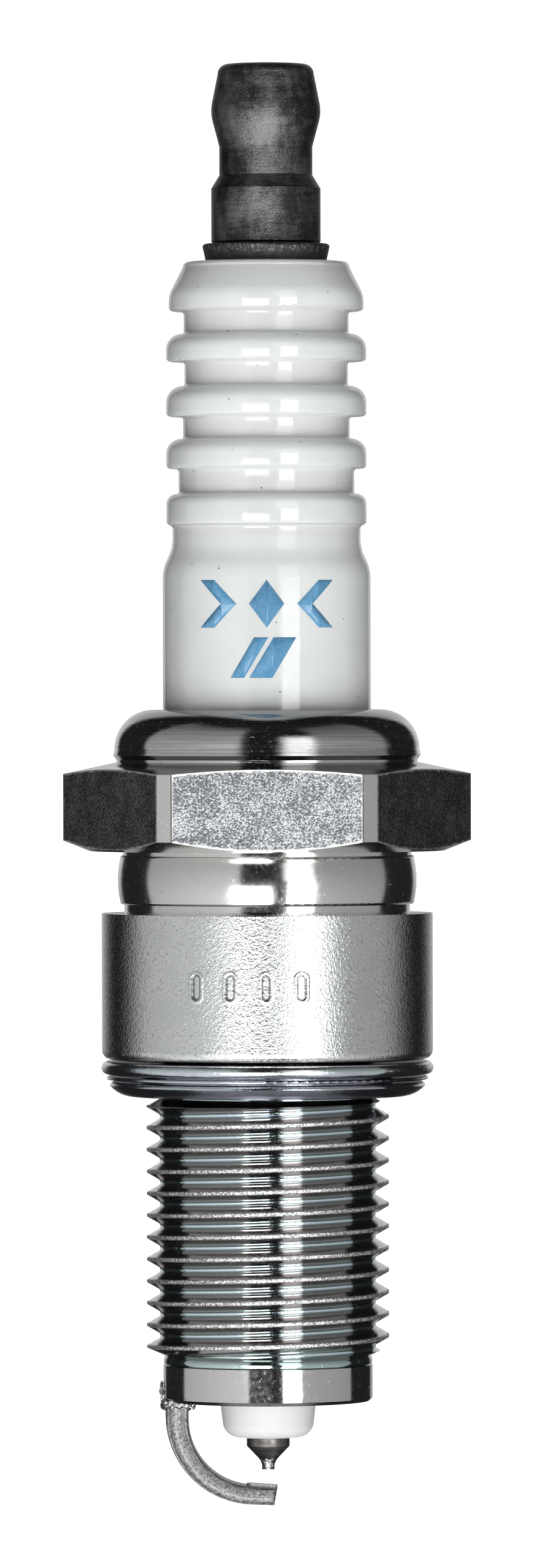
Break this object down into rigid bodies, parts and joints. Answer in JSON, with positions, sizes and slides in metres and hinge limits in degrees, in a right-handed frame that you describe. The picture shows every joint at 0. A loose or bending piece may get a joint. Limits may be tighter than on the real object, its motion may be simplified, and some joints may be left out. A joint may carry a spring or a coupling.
{
  "type": "spark plug",
  "caption": "Motorcycle spark plug with a ribbed ceramic insulator, hexagon steel shell, threaded reach, loose crush gasket and a bent ground electrode under a fine tip.",
  "frame": {"origin": "on the plug's axis, in the plane of the gasket's sealing face that lies on the cylinder head", "axes": "+Z along the axis from the firing end to the terminal; -X is the side the ground strap is welded on; -Y is the front, and a hexagon flat faces it"},
  "size_m": [0.0232, 0.0206, 0.0822],
  "materials": {
    "terminal_nut": "darkened nickel plate, dull and mottled",
    "terminal_stud": "dark rough plated steel",
    "insulator": "white glazed alumina, bare and matte on the nose",
    "shell": "bright plated steel, satin barrel and polished rim",
    "gasket": "bright plated sheet steel with a faint tint",
    "ground_electrode": "nickel alloy, drawn and dull",
    "ground_pad": "satin noble metal",
    "centre_electrode": "dark nickel alloy",
    "centre_tip": "noble metal, bright at its weld",
    "centre_electrode_core": "bare copper",
    "lower_glass_seal": "dark metal-filled glass",
    "upper_glass_seal": "dark metal-filled glass",
    "resistor": "fired carbon-glass block",
    "talc_packing": "pressed powder",
    "upper_packing_ring": "drawn steel wire",
    "lower_packing_ring": "drawn steel wire",
    "seat_packing": "sheet steel"
  },
  "bodies": {
    "plug": {"terminal_nut": "terminal_nut", "terminal_stud": "terminal_stud", "insulator": "insulator", "shell": "shell", "ground_electrode": "ground_electrode", "ground_pad": "ground_pad", "centre_electrode": "centre_electrode", "centre_tip": "centre_tip", "centre_electrode_core": "centre_electrode_core", "lower_glass_seal": "lower_glass_seal", "upper_glass_seal": "upper_glass_seal", "resistor": "resistor", "talc_packing": "talc_packing", "upper_packing_ring": "upper_packing_ring", "lower_packing_ring": "lower_packing_ring", "seat_packing": "seat_packing"},
    "gasket": {"gasket": "gasket"}
  },
  "joints": [
    {"name": "gasket_turn", "type": "hinge", "parent": "plug", "child": "gasket", "pos_m": [0, 0, 0.001], "axis": [0, 0, 1], "continuous": true}
  ]
}
